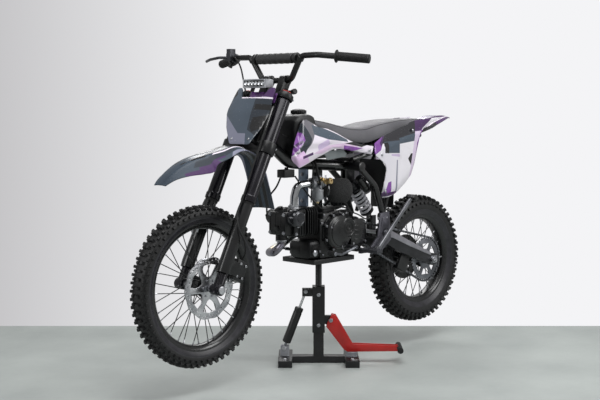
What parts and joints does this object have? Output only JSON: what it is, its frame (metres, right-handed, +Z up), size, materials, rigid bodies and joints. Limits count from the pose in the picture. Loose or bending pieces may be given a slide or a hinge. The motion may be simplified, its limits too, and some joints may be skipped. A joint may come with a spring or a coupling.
{
  "type": "off-road motorcycle on a lift stand",
  "caption": "Small off-road motorcycle with turning wheels, steering and folding side stand, held up by a pedal lift stand.",
  "frame": {"origin": "centre of the bounding box on the floor under the lift stand", "axes": "+X to the front of the motorcycle, +Y to its left, +Z up"},
  "size_m": [1.7644, 0.7816, 1.2209],
  "materials": {
    "frame_black": "satin black paint",
    "arm_grey": "satin dark grey paint",
    "bolt_steel": "zinc plated steel",
    "shock_body": "anodised grey",
    "spring_white": "white painted spring",
    "chain_steel": "oiled steel",
    "black_plastic": "moulded black plastic",
    "engine_black": "black engine paint",
    "cast_alloy": "bare die cast alloy",
    "bright_pipe": "polished steel pipe",
    "foam_black": "black foam",
    "muffler_black": "black heat paint",
    "lever_steel": "grey forged steel",
    "tank_plastic": "dark moulded plastic",
    "seat_cover": "dark grey vinyl",
    "bodywork": "slate, black, white and purple graphics",
    "tail_plastic": "pale lavender plastic",
    "caliper_black": "black paint",
    "lift_black": "satin black powder coat",
    "lift_red": "red powder coat",
    "clamp_black": "black anodised",
    "fork_grey": "dark grey with a sheen",
    "pad_vinyl": "black padded vinyl",
    "grip_rubber": "black rubber",
    "hose_rubber": "black hose",
    "tyre_rubber": "knobby tyre rubber",
    "rim_black": "black rims, hubs and spokes",
    "disc_steel": "ground stainless steel",
    "sprocket_steel": "steel",
    "stand_black": "black paint"
  },
  "bodies": {
    "chassis": {"main_frame": "frame_black", "rear_subframe": "frame_black", "swing_arm": "arm_grey", "pivot_bolt": "bolt_steel", "rear_axle": "bolt_steel", "rear_shock": "shock_body", "shock_spring": "spring_white", "drive_chain": "chain_steel", "chain_guide": "black_plastic", "crankcase": "engine_black", "engine_covers": "engine_black", "cylinder_barrel": "engine_black", "cylinder_head": "engine_black", "intake_pipe": "bright_pipe", "carburetor": "cast_alloy", "air_filter": "foam_black", "exhaust_header": "bright_pipe", "muffler": "muffler_black", "gear_lever": "lever_steel", "kick_starter": "lever_steel", "foot_pegs": "lever_steel", "brake_pedal": "lever_steel", "fuel_tank": "tank_plastic", "fuel_cap": "black_plastic", "seat": "seat_cover", "tank_shrouds": "bodywork", "side_panels": "bodywork", "rear_fender": "tail_plastic", "inner_fender": "black_plastic", "ignition_coil": "black_plastic", "rear_brake_caliper": "caliper_black", "lift_base": "lift_black", "lift_sleeve": "lift_black", "lift_lever": "lift_red", "lift_damper": "arm_grey"},
    "steering": {"triple_clamps": "clamp_black", "fork_tubes": "fork_grey", "fork_sliders": "fork_grey", "fork_guards": "black_plastic", "bar_clamps": "clamp_black", "handlebar": "clamp_black", "bar_pad": "pad_vinyl", "grips": "grip_rubber", "throttle_housing": "black_plastic", "brake_lever": "lever_steel", "number_plate": "bodywork", "light_bar": "cast_alloy", "front_fender": "bodywork", "front_brake_caliper": "caliper_black", "front_axle": "bolt_steel", "brake_hose": "hose_rubber"},
    "front_wheel": {"front_tyre": "tyre_rubber", "front_rim": "rim_black", "front_hub": "rim_black", "front_disc": "disc_steel"},
    "rear_wheel": {"rear_tyre": "tyre_rubber", "rear_rim": "rim_black", "rear_hub": "rim_black", "rear_sprocket": "sprocket_steel"},
    "side_stand": {"side_stand": "stand_black"}
  },
  "joints": [
    {"name": "steering_turn", "type": "hinge", "parent": "chassis", "child": "steering", "pos_m": [0.28384, 0, 0.93537], "axis": [-0.4462, 0, 0.8949], "range_deg": [-38, 38]},
    {"name": "front_wheel_spin", "type": "hinge", "parent": "steering", "child": "front_wheel", "pos_m": [0.59625, 0, 0.376], "axis": [0, 1, 0], "continuous": true},
    {"name": "rear_wheel_spin", "type": "hinge", "parent": "chassis", "child": "rear_wheel", "pos_m": [-0.61375, 0, 0.3585], "axis": [0, 1, 0], "continuous": true},
    {"name": "side_stand_fold", "type": "hinge", "parent": "chassis", "child": "side_stand", "pos_m": [-0.222, 0.124, 0.441], "axis": [0, -1, 0], "range_deg": [0, 140]}
  ]
}
